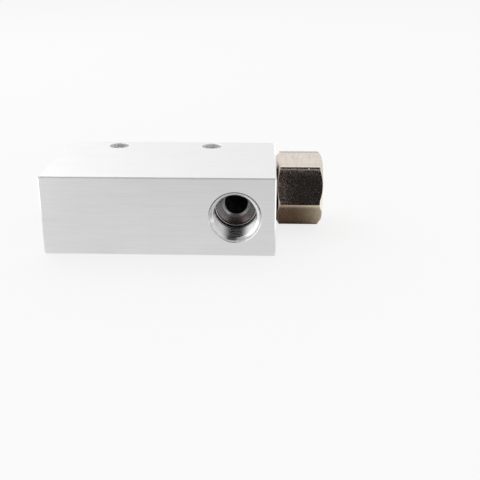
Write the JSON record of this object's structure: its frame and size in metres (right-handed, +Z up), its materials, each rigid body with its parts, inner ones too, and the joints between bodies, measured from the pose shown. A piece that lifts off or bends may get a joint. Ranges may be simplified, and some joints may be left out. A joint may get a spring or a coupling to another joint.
{
  "type": "vacuum ejector",
  "caption": "Aluminium block vacuum ejector: threaded vacuum port in front, hexagon supply fitting at one end, exhaust port opposite, and through holes for screws.",
  "frame": {"origin": "centre of the whole ejector's footprint, on the face that it rests on", "axes": "+X along the nozzle axis from the exhaust port to the hexagon, -Y out of the vacuum port, +Z up along the mounting holes"},
  "size_m": [0.056, 0.028, 0.016],
  "materials": {
    "satin_aluminium": "satin, finely brushed along the block, clear anodised",
    "nickel_plate": "bright nickel plate on turned brass",
    "turned_brass": "as turned",
    "seal_rubber": "matt black nitrile"
  },
  "bodies": {
    "root": {"body": "satin_aluminium", "nozzle_holder": "nickel_plate", "nozzle": "turned_brass", "diffuser": "turned_brass", "holder_o_ring": "seal_rubber"}
  },
  "joints": []
}
